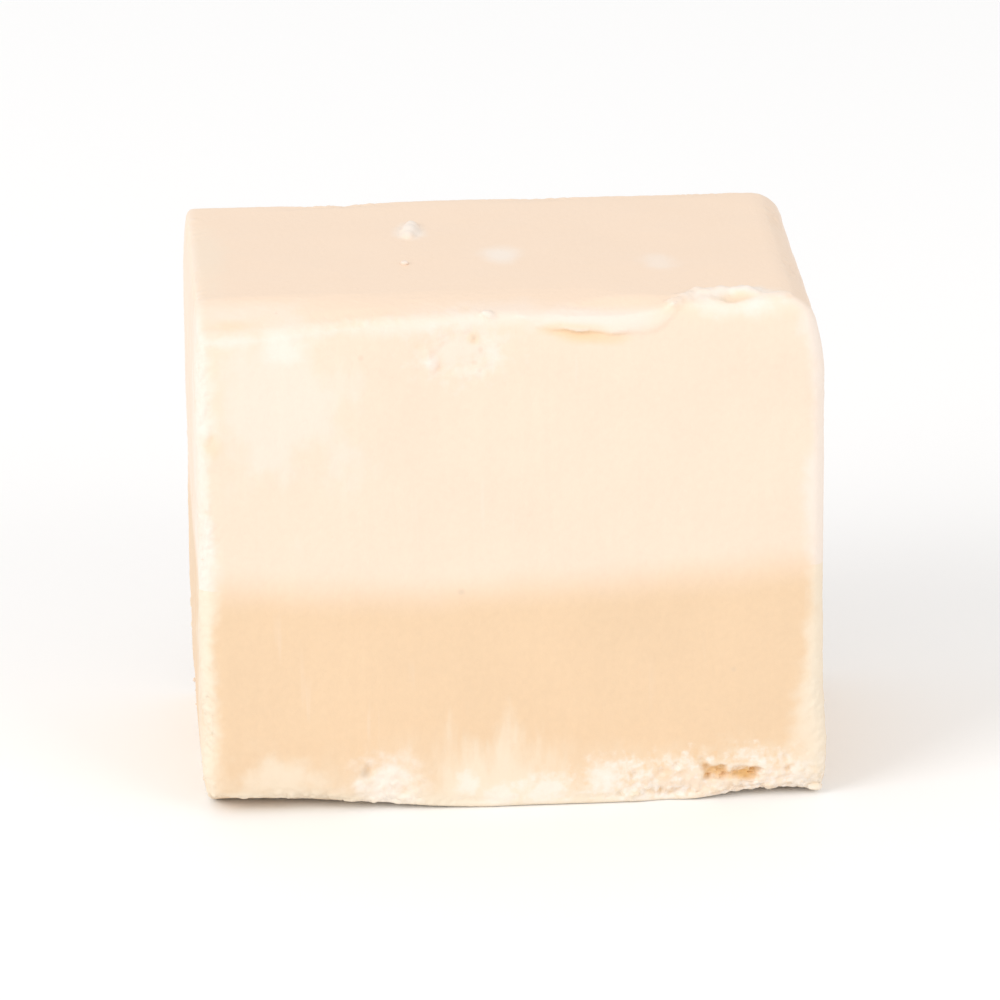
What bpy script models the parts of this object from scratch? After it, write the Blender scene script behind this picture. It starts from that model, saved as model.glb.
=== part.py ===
"""A square of two-layer fudge: a caramel layer with a vanilla layer set on top of it.

The slab was poured in two layers and cut with a knife, so the square is a block with worn, crumbling
edges, a lip where the blade dragged the top over the front, and chips along the foot.
Metres, +Z up. The origin is the middle of the flat underside, and the front face looks along -Y.
"""

import math

import bmesh
import bpy
from mathutils import Vector, noise

MM = 0.001

# The block as it was cut.
WIDTH = 34.0 * MM
DEPTH = 19.0 * MM
HEIGHT = 29.5 * MM

# The seam between the layers, and the hair's breadth that keeps the two solids apart.
SEAM_HEIGHT = 13.0 * MM
SEAM_RIGHT_RISE = 1.0 * MM
SEAM_RIGHT_START = 1.0 * MM
SEAM_LEFT_RISE = 0.55 * MM
SEAM_LEFT_START = 4.5 * MM
SEAM_RISE_LENGTH = 13.0 * MM
SEAM_DIP = 0.15 * MM
SEAM_DIP_LENGTH = 16.0 * MM
SEAM_SAG = 0.25 * MM
SEAM_GAP = 0.3 * MM

# The grid that the shape is worked out on, and the share of its triangles that is kept.
CELL = 0.75 * MM
KEPT_SHARE = 0.42

# Rounding and crumbling of the cut edges.
EDGE_RADIUS = 0.55 * MM
WORN_CORNER_RADIUS = 1.5 * MM
CRUMBLE_REACH = 1.3 * MM
CRUMB_SIZE = 1.5 * MM
CRUMBLE_DEPTH = 0.42 * MM
CREASE_SHARPNESS = 1.3
PATCH_SIZE = 5.0 * MM
PATCH_OFFSET = Vector((3, 1, 7))
PATCH_MEAN = 0.55
PATCH_SWING = 0.45
FOOT_REACH = 4.0 * MM
FOOT_BASE = 0.75
FOOT_EXTRA = 0.5

# Where the edges are more worn: the right top edge, and most of all the corner at its back end.
WORN_RIGHT_START = 12.0 * MM
WORN_BACK_DEPTH = 4.0 * MM
WORN_HEIGHT = 22.0 * MM
WORN_FADE = 3.0 * MM
WORN_SHARE = 0.6

# Every side bows out a little, nearly evenly up its height.
SIDE_BOW = 0.3 * MM
BOW_FULLNESS = 8

VANILLA_COLOUR = (0.90, 0.76, 0.61, 1.0)
CARAMEL_COLOUR = (0.86, 0.64, 0.41, 1.0)
FUDGE_ROUGHNESS = 0.5

TINY = 1e-9
STRAIGHT = 0.99

HALF = Vector((WIDTH / 2, DEPTH / 2, HEIGHT / 2))
FRONT = -HALF.y
TOP = HEIGHT

# The marks on the front, each an ellipsoid of influence: its middle, its half lengths, and how far it
# moves the skin at its middle. The blade rolled a lip over the top edge and left a burr beside it, an
# imprint pressed the face in, and the foot broke away in a hollow and three chips. The top edge is
# pressed down at its left end and stands up a little at its right end. The foot is worn up towards its
# left end and right of its middle, and its right end was pushed out by the blade.
MARKS_MM = {
    "lip": ((4.9, 0.0, 28.8), (3.9, 1.6, 1.2), (0.0, -0.45, 0.0)),
    "burr": ((12.0, 0.4, 29.5), (2.2, 1.1, 1.4), (0.0, 0.0, 0.6)),
    "imprint": ((-3.0, 0.0, 27.1), (2.4, 1.2, 1.9), (0.0, 0.2, 0.0)),
    "hollow": ((12.2, 0.0, 1.5), (2.3, 1.4, 1.2), (0.0, 0.9, 0.0)),
    "right_chip": ((15.6, 0.0, 0.3), (1.7, 1.5, 1.3), (0.0, 0.6, 0.0)),
    "middle_chip": ((8.6, 0.0, 0.2), (1.8, 1.5, 1.2), (0.0, 0.6, 0.0)),
    "left_chip": ((-16.6, 0.0, 0.2), (1.4, 1.4, 1.3), (0.3, 0.4, 0.0)),
    "worn_shoulder": ((-18.5, 0.0, 29.5), (12.0, 2.6, 4.0), (0.0, 0.0, -1.35)),
    "raised_corner": ((17.0, 0.0, 29.5), (4.5, 3.0, 5.0), (0.0, 0.0, 0.3)),
    "left_worn_foot": ((-17.0, 0.0, 0.0), (16.0, 3.0, 3.0), (0.0, 0.0, 1.0)),
    "right_worn_foot": ((14.0, 0.0, 0.0), (5.0, 3.0, 3.0), (0.0, 0.0, 0.55)),
    "right_flare": ((17.0, 0.0, 0.0), (6.0, 8.0, 9.0), (0.45, 0.0, 0.0)),
}


def smooth(share):
    """0 to 1 with flat ends, for a share that may lie outside them."""
    share = min(1.0, max(0.0, share))
    return share * share * (3 - 2 * share)


def hump(point, middle, size):
    """1 at middle, falling to 0 on the ellipsoid whose half lengths are size."""
    away = Vector(((point[i] - middle[i]) / size[i] for i in range(3)))
    return smooth(1 - away.length)


def seam_wave(x, y):
    """How far the seam stands above its plain height: it dips in the middle, climbs towards both ends,
    most at the right, and sags a little towards the front and back."""
    right = SEAM_RIGHT_RISE * smooth((x - SEAM_RIGHT_START) / SEAM_RISE_LENGTH)
    left = SEAM_LEFT_RISE * smooth((-x - SEAM_LEFT_START) / SEAM_RISE_LENGTH)
    dip = SEAM_DIP * smooth(1 - abs(x) / (SEAM_DIP_LENGTH / 2))
    sag = SEAM_SAG * math.cos(math.pi * y / DEPTH)
    return right + left - dip + sag


def edge_distance(point):
    """How far a point on the skin is from the nearest edge of the block."""
    to_faces = sorted((HALF.x - abs(point.x), HALF.y - abs(point.y), min(point.z, TOP - point.z)))
    return max(0.0, to_faces[1])


def edge_radius(point):
    """The rounding at a point, wider where the edges are more worn."""
    high = smooth((point.z - WORN_HEIGHT) / WORN_FADE)
    right = high * smooth((point.x - WORN_RIGHT_START) / WORN_FADE)
    back_right = right * smooth((point.y - WORN_BACK_DEPTH) / WORN_FADE)
    worn = max(WORN_SHARE * right, back_right)
    return EDGE_RADIUS + (WORN_CORNER_RADIUS - EDGE_RADIUS) * worn


def rounded(point):
    """The point with the block's edges rounded, and the outward direction there."""
    radius = edge_radius(point)
    core = Vector(
        (
            min(HALF.x - radius, max(radius - HALF.x, point.x)),
            min(HALF.y - radius, max(radius - HALF.y, point.y)),
            min(TOP - radius, max(radius, point.z)),
        )
    )
    away = point - core
    if away.length < TINY:
        return point.copy(), Vector((0, 0, 0))
    reach = max(abs(away.x), abs(away.y), abs(away.z))
    outward = away.normalized()
    return core + outward * reach, outward * (reach / radius)


def crumble(point):
    """How far the skin is eaten back: rounded crumbs with creases between them, along the edges only."""
    near = smooth(1 - edge_distance(point) / CRUMBLE_REACH)
    if near == 0:
        return 0.0
    crease = noise.voronoi(point / CRUMB_SIZE)[0][0]
    patch = PATCH_MEAN + PATCH_SWING * noise.noise(point / PATCH_SIZE + PATCH_OFFSET)
    foot = FOOT_BASE + FOOT_EXTRA * smooth(1 - point.z / FOOT_REACH)
    return CRUMBLE_DEPTH * near * min(1.0, CREASE_SHARPNESS * crease) * patch * foot


def bowed(point):
    """The sideways move that makes every side of the block bow out."""
    up = min(1.0, max(0.0, point.z / TOP))
    belly = SIDE_BOW * (1 - (2 * up - 1) ** BOW_FULLNESS)
    return Vector((belly * point.x / HALF.x, belly * point.y / HALF.y, 0))


def front_marks(point):
    """How far the marks on the front move a point. Their depths are counted from the front face."""
    move = Vector((0, 0, 0))
    for middle, size, push in MARKS_MM.values():
        place = Vector(middle) * MM + Vector((0, FRONT, 0))
        move += Vector(push) * MM * hump(point, place, Vector(size) * MM)
    return move


def shaped(point):
    """A point of the plain block moved to where it lies on the cut and worn square."""
    skin, outward = rounded(point)
    skin -= outward * crumble(point)
    skin += bowed(point) + front_marks(point)
    skin.z = max(0.0, skin.z)
    return skin


def material(name, colour):
    made = bpy.data.materials.new(name)
    made.use_nodes = True
    shader = made.node_tree.nodes["Principled BSDF"]
    shader.inputs["Base Color"].default_value = colour
    shader.inputs["Roughness"].default_value = FUDGE_ROUGHNESS
    shader.inputs["Metallic"].default_value = 0.0
    return made


def scored_box(low, high):
    """A box from low to high, scored into cells across each axis."""
    box = bmesh.new()
    bmesh.ops.create_cube(box, size=1.0)
    for vertex in box.verts:
        vertex.co = Vector((low[i] + (high[i] - low[i]) * (vertex.co[i] + 0.5) for i in range(3)))
    for axis in range(3):
        cuts = round((high[axis] - low[axis]) / CELL) - 1
        across = [
            edge
            for edge in box.edges
            if abs((edge.verts[1].co - edge.verts[0].co).normalized()[axis]) > STRAIGHT
        ]
        bmesh.ops.subdivide_edges(box, edges=across, cuts=cuts, use_grid_fill=True)
    return box


def layer(name, low, high, seam, finish, collection):
    """One poured layer, from height low to height high. seam is whichever of them meets the other layer."""
    far = low if seam == high else high
    box = scored_box((-HALF.x, -HALF.y, low), (HALF.x, HALF.y, high))
    for vertex in box.verts:
        point = vertex.co.copy()
        point.z += seam_wave(point.x, point.y) * (point.z - far) / (seam - far)
        vertex.co = shaped(point)
    bmesh.ops.recalc_face_normals(box, faces=box.faces)
    mesh = bpy.data.meshes.new(name)
    box.to_mesh(mesh)
    box.free()
    mesh.materials.append(finish)
    mesh.shade_smooth()
    made = bpy.data.objects.new(name, mesh)
    collection.objects.link(made)
    fewer = made.modifiers.new("fewer_flat_triangles", "DECIMATE")
    fewer.ratio = KEPT_SHARE
    return made


def main():
    for old in list(bpy.data.objects):
        bpy.data.objects.remove(old)
    square = bpy.data.collections.new("fudge_square")
    bpy.context.scene.collection.children.link(square)
    under_seam = SEAM_HEIGHT - SEAM_GAP / 2
    over_seam = SEAM_HEIGHT + SEAM_GAP / 2
    caramel = material("caramel_fudge", CARAMEL_COLOUR)
    vanilla = material("vanilla_fudge", VANILLA_COLOUR)
    layer("caramel_layer", 0.0, under_seam, under_seam, caramel, square)
    layer("vanilla_layer", over_seam, TOP, over_seam, vanilla, square)


main()
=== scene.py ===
import math
import random

import bpy
import numpy as np
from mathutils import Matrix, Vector, kdtree


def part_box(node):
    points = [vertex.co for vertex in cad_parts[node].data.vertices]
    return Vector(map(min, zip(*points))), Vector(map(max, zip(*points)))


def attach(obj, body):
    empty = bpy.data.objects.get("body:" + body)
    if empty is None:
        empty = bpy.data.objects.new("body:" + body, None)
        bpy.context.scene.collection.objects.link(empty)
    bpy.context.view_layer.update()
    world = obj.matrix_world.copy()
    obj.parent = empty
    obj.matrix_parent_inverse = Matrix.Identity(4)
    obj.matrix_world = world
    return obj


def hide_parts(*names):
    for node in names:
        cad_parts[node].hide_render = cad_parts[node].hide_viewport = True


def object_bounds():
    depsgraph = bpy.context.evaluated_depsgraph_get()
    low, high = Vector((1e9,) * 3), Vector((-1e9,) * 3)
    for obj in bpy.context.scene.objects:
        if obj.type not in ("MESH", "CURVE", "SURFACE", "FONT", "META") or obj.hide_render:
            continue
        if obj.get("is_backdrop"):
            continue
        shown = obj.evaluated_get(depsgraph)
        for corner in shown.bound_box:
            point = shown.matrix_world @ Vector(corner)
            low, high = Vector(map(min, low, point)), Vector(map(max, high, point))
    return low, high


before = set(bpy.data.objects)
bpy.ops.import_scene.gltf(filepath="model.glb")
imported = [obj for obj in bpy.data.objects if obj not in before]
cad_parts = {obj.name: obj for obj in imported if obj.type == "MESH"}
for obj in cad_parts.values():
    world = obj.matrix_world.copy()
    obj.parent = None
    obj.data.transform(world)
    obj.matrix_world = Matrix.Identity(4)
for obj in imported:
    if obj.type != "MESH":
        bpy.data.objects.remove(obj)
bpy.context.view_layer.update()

# ---- The block ----
# One square cut from a slab of fudge, with both layers still in one piece. It is boiled sugar, butter
# and cream, firm enough to hold a cut. The knife crushed every edge round as it went through.
MM = 0.001
SIDE_BOW = 0.3 * MM
SCRAP_HEIGHT = 0.39 * MM
EDGE_ROUND = 0.4 * MM
WORN_ROUND = 1.5 * MM
ROUND_STEPS = 4
NEAR = 0.5 * MM

caramel_low, caramel_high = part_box("caramel_layer")
vanilla_low, vanilla_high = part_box("vanilla_layer")
width = vanilla_high.x - vanilla_low.x - 2 * SIDE_BOW
depth = caramel_high.y - caramel_low.y - 2 * SIDE_BOW
height = vanilla_high.z - SCRAP_HEIGHT
half_x = width / 2
half_y = depth / 2
front = -half_y


def only(piece):
    """Makes piece the one selected and active object."""
    bpy.ops.object.select_all(action="DESELECT")
    piece.select_set(True)
    bpy.context.view_layer.objects.active = piece


def named(name):
    """Names the primitive just added, and moves its place, turn and size into its mesh."""
    made = bpy.context.object
    made.name = name
    bpy.ops.object.transform_apply(location=True, rotation=True, scale=True)
    return made


def cube(name, middle, size):
    """A cube primitive of that size at that place."""
    bpy.ops.object.select_all(action="DESELECT")
    bpy.ops.mesh.primitive_cube_add(size=1, location=middle, scale=size)
    return named(name)


def pick_edges(piece, wanted):
    """Selects the edges whose middle and direction are wanted, and stays in edit mode."""
    only(piece)
    bpy.ops.object.mode_set(mode="EDIT")
    bpy.ops.mesh.select_mode(type="EDGE")
    bpy.ops.mesh.select_all(action="DESELECT")
    bpy.ops.object.mode_set(mode="OBJECT")
    for edge in piece.data.edges:
        first, second = (piece.data.vertices[end].co for end in edge.vertices)
        edge.select = bool(wanted((first + second) / 2, (second - first).normalized()))
    bpy.ops.object.mode_set(mode="EDIT")


def finish_with(piece, kind, **settings):
    """Adds a modifier with those settings and applies it."""
    only(piece)
    modifier = piece.modifiers.new(kind.lower(), kind)
    for key, value in settings.items():
        setattr(modifier, key, value)
    bpy.ops.object.modifier_apply(modifier=modifier.name)


block = cube("block", (0, 0, height / 2), (width, depth, height))
pick_edges(block, lambda at, run: at.x > half_x - NEAR and at.z > height - NEAR)
bpy.ops.mesh.bevel(offset=WORN_ROUND, segments=ROUND_STEPS, affect="EDGES")
bpy.ops.object.mode_set(mode="OBJECT")


def on_sharp_edge(at, run):
    """True for an edge where two of the block's flat sides meet."""
    sides = (abs(at.x) > half_x - NEAR) + (abs(at.y) > half_y - NEAR)
    return sides + (abs(at.z - height / 2) > height / 2 - NEAR) == 2


pick_edges(block, on_sharp_edge)
bpy.ops.mesh.bevel(offset=EDGE_ROUND, segments=ROUND_STEPS, affect="EDGES")
bpy.ops.object.mode_set(mode="OBJECT")

# ---- The lip ----
# A thin flap of fudge that the blade dragged over the top of the front, right of the middle. It is
# joined to the block along its top. Its lower edge hangs free over a groove scraped into the front.
LIP_START = 0.3 * MM
LIP_END = 9.6 * MM
LIP_DROP = 0.85 * MM
LIP_EXTRA_DROP = 0.65 * MM
LIP_SWELL_START = 1.5 * MM
LIP_SWELL_LENGTH = 4.8 * MM
LIP_LEFT_TAPER = 1.4 * MM
LIP_RIGHT_TAPER = 1.8 * MM
LIP_SINK = 0.06 * MM
LIP_PROUD = 0.08 * MM
LIP_STAND = 0.11 * MM
LIP_EXTRA_STAND = 0.10 * MM
LIP_STAND_MIDDLE = 3.9 * MM
LIP_STAND_REACH = 3.4 * MM
LIP_ROOT = 0.75 * MM
LIP_RIM = 0.18 * MM
LIP_RIPPLE = 0.05 * MM
LIP_CUTS = (30, 5)
RIPPLE_OUT = 2.3
RIPPLE_DOWN = 3.7
GROOVE = Vector((3.9, -0.1, -1.3)) * MM
GROOVE_SIZE = Vector((4.4, 0.45, 0.8)) * MM
GROOVE_TILT = math.radians(7)


def ease(share):
    """0 to 1 with flat ends, for shares that may lie outside them."""
    share = np.clip(share, 0, 1)
    return share * share * (3 - 2 * share)


def lip_drop(x):
    """How far the lip hangs below the top edge: little at its left, most near its right end."""
    full = LIP_DROP + LIP_EXTRA_DROP * ease((x - LIP_SWELL_START) / LIP_SWELL_LENGTH)
    return full * ease((x - LIP_START) / LIP_LEFT_TAPER) * ease((LIP_END - x) / LIP_RIGHT_TAPER)


lip = cube("lip", ((LIP_START + LIP_END) / 2, front, height - MM / 2), (LIP_END - LIP_START, MM, MM))
pick_edges(lip, lambda at, run: abs(run.x) > 0.9)
bpy.ops.mesh.subdivide(number_cuts=LIP_CUTS[0])
bpy.ops.object.mode_set(mode="OBJECT")
pick_edges(lip, lambda at, run: abs(run.z) > 0.9)
bpy.ops.mesh.subdivide(number_cuts=LIP_CUTS[1])
bpy.ops.object.mode_set(mode="OBJECT")
for point in lip.data.vertices:
    down = (height - point.co.z) / MM
    drop = lip_drop(point.co.x)
    hang = drop / (LIP_DROP + LIP_EXTRA_DROP)
    near_middle = ease(1 - abs(point.co.x - LIP_STAND_MIDDLE) / LIP_STAND_REACH)
    stand = LIP_STAND * hang + LIP_EXTRA_STAND * near_middle
    outer = LIP_PROUD + stand * down**1.5
    thick = LIP_ROOT + (LIP_RIM - LIP_ROOT) * down
    ripple = LIP_RIPPLE * math.sin(point.co.x / MM * RIPPLE_OUT)
    point.co.y = front - outer - ripple * down + (thick if point.co.y > front else 0)
    point.co.z = height - LIP_SINK - (drop + LIP_RIPPLE * math.sin(point.co.x / MM * RIPPLE_DOWN)) * down
finish_with(lip, "SUBSURF", levels=1, render_levels=1)


def lump(name, middle, size, turn=(0, 0, 0)):
    """A rounded lump of that size, turned about its own middle."""
    bpy.ops.object.select_all(action="DESELECT")
    bpy.ops.mesh.primitive_ico_sphere_add(
        subdivisions=2, radius=0.5, location=middle, scale=size, rotation=turn
    )
    return named(name)


groove = lump("groove", Vector((0, front, height)) + GROOVE, GROOVE_SIZE, (0, GROOVE_TILT, 0))
finish_with(block, "BOOLEAN", object=groove, operation="DIFFERENCE", solver="EXACT")
bpy.data.objects.remove(groove)

# ---- The burr ----
# Where the blade tore the top edge, right of the lip, it turned up a soft flap. A ridge of scraps runs
# from the lip's end back over the top, with a larger scrap at its right end and a shallow hollow before it.
BURR_START = 8.7 * MM
BURR_CLIMB = 1.9 * MM
BURR_END = 13.6 * MM
BURR_REACH = 1.35 * MM
RIDGE_LUMPS = 34
FLAP_LUMPS = 30
END_LUMPS = 9
END_RANGE = (13.9, 15.6)
BURR_SCRAPS = ((13.4, 1.2, 1.15, 1.1, 0.85), (12.9, 1.35, 0.9, 0.9, 0.7), (13.9, 0.9, 0.8, 0.8, 0.55))
TOP_SCRAPS = ((-4.7, 3.8, 1.05), (-4.55, 4.6, 0.9), (-4.8, 3.1, 0.8))
EDGE_SCRAP = (-1.15 * MM, front + 0.12 * MM, height - 0.05 * MM)
EDGE_SCRAP_SIZE = (0.95 * MM, 0.5 * MM, 0.42 * MM)
EDGE_SCRAP_TILT = math.radians(22)

scrap_dice = random.Random(7)


def any_turn(dice):
    """A turn about each axis, by chance."""
    return [dice.uniform(0, math.tau) for _ in range(3)]


def burr_reach(x):
    """How far back from the front the burr's ridge stands."""
    return BURR_REACH * float(ease((x - BURR_START) / BURR_CLIMB))


scraps = []
for number in range(RIDGE_LUMPS):
    x = scrap_dice.uniform(BURR_START, BURR_END)
    wide = scrap_dice.uniform(0.5, 1.0) * MM
    middle = (x, front + 0.3 * MM + burr_reach(x) + scrap_dice.uniform(-0.3, 0.1) * MM, height + 0.05 * MM)
    turn = (0, 0, scrap_dice.uniform(-1, 1))
    scraps.append(lump("burr_ridge", middle, (wide, wide * 0.8, wide * 0.55), turn))
for number in range(FLAP_LUMPS):
    x = scrap_dice.uniform(BURR_START + 0.7 * MM, BURR_END + 0.7 * MM)
    wide = scrap_dice.uniform(0.8, 1.5) * MM
    middle = (x, front + 0.5 * wide + burr_reach(x) * scrap_dice.uniform(0.0, 0.8), height - 0.06 * MM)
    turn = (0, 0, scrap_dice.uniform(-1, 1))
    scraps.append(lump("burr_flap", middle, (wide, wide * 0.8, wide * 0.28), turn))
for number in range(END_LUMPS):
    wide = scrap_dice.uniform(0.5, 0.9) * MM
    middle = (scrap_dice.uniform(*END_RANGE) * MM, front + scrap_dice.uniform(0.45, 0.8) * MM, height)
    turn = (0, 0, scrap_dice.uniform(-0.3, 0.3))
    scraps.append(lump("burr_end", middle, (wide * 1.4, wide * 0.8, wide * 0.3), turn))
for x, back, wide, deep, tall in BURR_SCRAPS:
    shape = (wide * MM, deep * MM, tall * MM)
    scraps.append(lump("burr_scrap", (x * MM, front + back * MM, height), shape))

# Soft scraps of the same fudge that stuck to the top, near its back edge, and to the front edge.
for x, y, wide in TOP_SCRAPS:
    shape = (wide * 0.9 * MM, wide * 1.6 * MM, wide * 0.8 * MM)
    scraps.append(lump("top_scrap", (x * MM, y * MM, height), shape))
scraps.append(lump("edge_scrap", EDGE_SCRAP, EDGE_SCRAP_SIZE, (0, EDGE_SCRAP_TILT, 0)))

# ---- The crumbled foot ----
# The foot of the front broke into coarse crumb, most of it at the right, where a piece fell out and
# left a hollow. A smaller patch broke left of the middle.
RIGHT_CRUMB = (5.6, 16.7)
RIGHT_LUMPS = 300
LOW_CRUMB = (-3.0, 5.6)
LOW_LUMPS = 40
PATCH_CRUMB = (-9.2, -4.9)
PATCH_LUMPS = 36
HOLLOWS = (((10.55, 11.8), (1.4, 2.1)), ((12.3, 13.45), (1.15, 1.8)))
HOLLOW_BITES = 16

for number in range(RIGHT_LUMPS):
    x = scrap_dice.uniform(*RIGHT_CRUMB)
    rise = 0.9 + 1.5 * float(ease((x - RIGHT_CRUMB[0]) / 2.5))
    wide = scrap_dice.uniform(0.26, 0.58) * MM
    middle = (x * MM, front + wide * scrap_dice.uniform(0.27, 0.48), scrap_dice.uniform(0.35, rise) * MM)
    scraps.append(lump("foot_lump", middle, (wide * 1.2, wide * 0.8, wide * 0.8), any_turn(scrap_dice)))
for number in range(LOW_LUMPS):
    wide = scrap_dice.uniform(0.25, 0.5) * MM
    middle = (scrap_dice.uniform(*LOW_CRUMB) * MM, front + 0.45 * wide, scrap_dice.uniform(0.35, 1.3) * MM)
    scraps.append(lump("foot_lump", middle, (wide * 1.3, wide * 0.8, wide * 0.9), any_turn(scrap_dice)))
for number in range(PATCH_LUMPS):
    x = scrap_dice.uniform(*PATCH_CRUMB)
    wide = scrap_dice.uniform(0.28, 0.6) * MM
    middle = (x * MM, front + wide * scrap_dice.uniform(0.25, 0.45), scrap_dice.uniform(0.4, 2.5) * MM)
    scraps.append(lump("foot_lump", middle, (wide, wide * 0.7, wide), any_turn(scrap_dice)))

# ---- The worn skin ----
# The flap, scraps and lumps grow into the block, and the skin is roughened where the knife crumbled it:
# deeply along the edges and the foot, hardly at all on the smooth cut faces.
GRAIN = 0.12 * MM
EDGE_REACH = 1.3 * MM
FOOT_TOP = 3.0 * MM
KNIFE_SPACING = 0.45 * MM
KNIFE_DEPTH = 0.06 * MM
BITE = 2.4 * MM
CRUMB = 0.65 * MM
FINE_CRUMB = 0.3 * MM
SLOW_WAVE = 9.0 * MM
SKIN_TRIANGLES = 335_000

only(block)
for part in [lip, *scraps]:
    part.select_set(True)
bpy.ops.object.join()
finish_with(block, "REMESH", mode="VOXEL", voxel_size=GRAIN)


def places(piece):
    """The points of piece, one row each."""
    found = np.empty(len(piece.data.vertices) * 3, np.float32)
    piece.data.vertices.foreach_get("co", found)
    return found.reshape(-1, 3).astype(float)


def spot(at, middle, size):
    """1 at middle, falling to 0 on the ellipsoid whose half lengths are size. Millimetres from the
    middle of the front's foot."""
    gone = (at - (np.array(middle) * MM + np.array((0, front, 0)))) / (np.array(size) * MM)
    return ease(1 - np.linalg.norm(gone, axis=1))


def edge_distance(at):
    """How far each point is from the nearest edge of the block."""
    sides = (half_x - abs(at[:, 0]), half_y - abs(at[:, 1]), np.minimum(at[:, 2], height - at[:, 2]))
    return np.sort(np.stack(sides), axis=0)[1].clip(0)


def blotches(at, size, start):
    """Smooth patches from 0 to 1, about size across. Each start gives others."""
    x, y, z = (at / size).T
    first = np.sin(1.9 * x + start + 1.3 * np.sin(1.7 * z + start))
    second = np.sin(2.3 * y + 2 * start + 1.1 * np.sin(1.3 * x + 2.0))
    third = np.sin(2.1 * z + 3 * start + 1.2 * np.sin(1.9 * y + 4.0))
    return ease(0.5 + (first + second + third) / 3)


def ridges(along, dice, spacing):
    """Uneven ridges from 0 to 1 across a line, spacing apart."""
    knots = np.arange(-60, 61) * spacing
    return np.interp(along, knots, [dice.random() for _ in knots])


def weigh(piece, name, shares):
    """A vertex group that holds each point's share, in 64 steps."""
    held = piece.vertex_groups.new(name=name)
    steps = np.round(shares * 64).astype(int)
    for step in range(1, 65):
        chosen = np.nonzero(steps == step)[0]
        if len(chosen):
            held.add(chosen.tolist(), step / 64, "REPLACE")


def press(piece, name, shares, strength, direction="NORMAL"):
    """Moves the skin by strength where shares is 1."""
    weigh(piece, name, shares)
    finish_with(piece, "DISPLACE", strength=strength, mid_level=0.0, vertex_group=name, direction=direction)


def relief(piece, name, scale, strength, where="", mid_level=0.5, creased=False):
    """Moves the skin by a solid pattern whose features are scale across: soft clouds, or rounded
    clumps with creases between them."""
    pattern = bpy.data.textures.new(name, "CLOUDS")
    pattern.noise_scale = scale
    pattern.noise_depth = 2
    pattern.noise_type = "HARD_NOISE" if creased else "SOFT_NOISE"
    finish_with(
        piece, "DISPLACE", texture=pattern, strength=strength, mid_level=mid_level,
        vertex_group=where, texture_coords="LOCAL",
    )


at = places(block)
rim = edge_distance(at)
from_top = height - at[:, 2]
up = np.clip(at[:, 2] / height, 0, 1)
press(block, "belly", 1 - (2 * up - 1) ** 8, SIDE_BOW)

# The knife dragged fine upright ridges down the cut sides, hardly any down the front.
wander = 0.2 * MM * np.sin(at[:, 2] / (3 * MM))
facing_front = half_y - abs(at[:, 1]) < half_x - abs(at[:, 0])
sideways = np.where(facing_front, at[:, 0], at[:, 1] + 25 * MM) + wander
drag = ridges(sideways, scrap_dice, KNIFE_SPACING) * ease(from_top / MM - 0.3) * ease(rim / MM - 0.3)
frontal = ease((front + 1.2 * MM - at[:, 1]) / (0.8 * MM))
press(block, "knife_drag", drag * (1 - 0.7 * frontal), -KNIFE_DEPTH)

# Chance wear. The front of the top slopes down, most of all at its left end. The foot is worn up at the
# left and right of the middle, a piece fell out of it in two ragged parts, and its right end flares.
SHOULDER_REACH = 3.0 * MM
SHOULDER_HEIGHT = 4.0 * MM
SHOULDER_DROP = 1.3
TOP = height / MM

at = places(block)
lean = ease(1 - from_top / (4.5 * MM)) * ease((at[:, 0] - 9 * MM) / (7 * MM))
drop = 0.38 * ease((7 * MM - at[:, 0]) / (5 * MM)) + 0.2 * ease((-at[:, 0] - 0.5 * MM) / (5 * MM))
drop += 0.72 * ease((-at[:, 0] - 6 * MM) / (10 * MM))
shoulder = np.clip(1 - (at[:, 1] - front) / SHOULDER_REACH, 0, 1) ** 1.5
shoulder *= ease((at[:, 2] - height + SHOULDER_HEIGHT) / SHOULDER_HEIGHT)
hollow = np.zeros(len(at))
for wide_range, high_range in HOLLOWS:
    for number in range(HOLLOW_BITES):
        middle = (scrap_dice.uniform(*wide_range), 0, scrap_dice.uniform(*high_range))
        bite = scrap_dice.uniform(0.22, 0.46)
        share = scrap_dice.uniform(0.5, 1.0)
        hollow = np.maximum(hollow, spot(at, middle, (bite * 1.3, 1.5, bite)) * share)
for name, shares, reach, direction in (
    ("left_worn_foot", spot(at, (-17, 0, 0), (16, 3, 3)), 1.0, "Z"),
    ("right_worn_foot", spot(at, (14, 0, 0), (5, 3, 3)), 0.4, "Z"),
    ("right_top_lean", lean, -0.5, "X"),
    ("lip_slope", spot(at, (6.2, 0.1, TOP), (4.0, 1.7, 1.7)), -0.45, "Z"),
    ("burr_hollow", spot(at, (12.4, 0.6, TOP), (1.4, 0.8, 1.2)), -0.25, "Z"),
    ("right_flare", spot(at, (17, 0, 0), (6, 8, 9)), 0.45, "X"),
    ("left_corner_foot", spot(at, (-17.4, -0.3, 0.4), (1.2, 1.2, 1.6)), 0.3, "X"),
    ("worn_shoulder", shoulder * drop / SHOULDER_DROP, -SHOULDER_DROP, "Z"),
    ("raised_corner", spot(at, (17, 0, TOP), (4.5, 3, 5)), 0.12, "Z"),
    ("hollow", hollow, 0.55, "Y"),
    ("right_chip", spot(at, (15.6, 0, 0.3), (1.7, 1.5, 1.3)), 0.2, "Y"),
    ("middle_chip", spot(at, (8.6, 0, 0.2), (1.8, 1.5, 1.2)), 0.2, "Y"),
):
    press(block, name, shares, reach * MM, direction)

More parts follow.
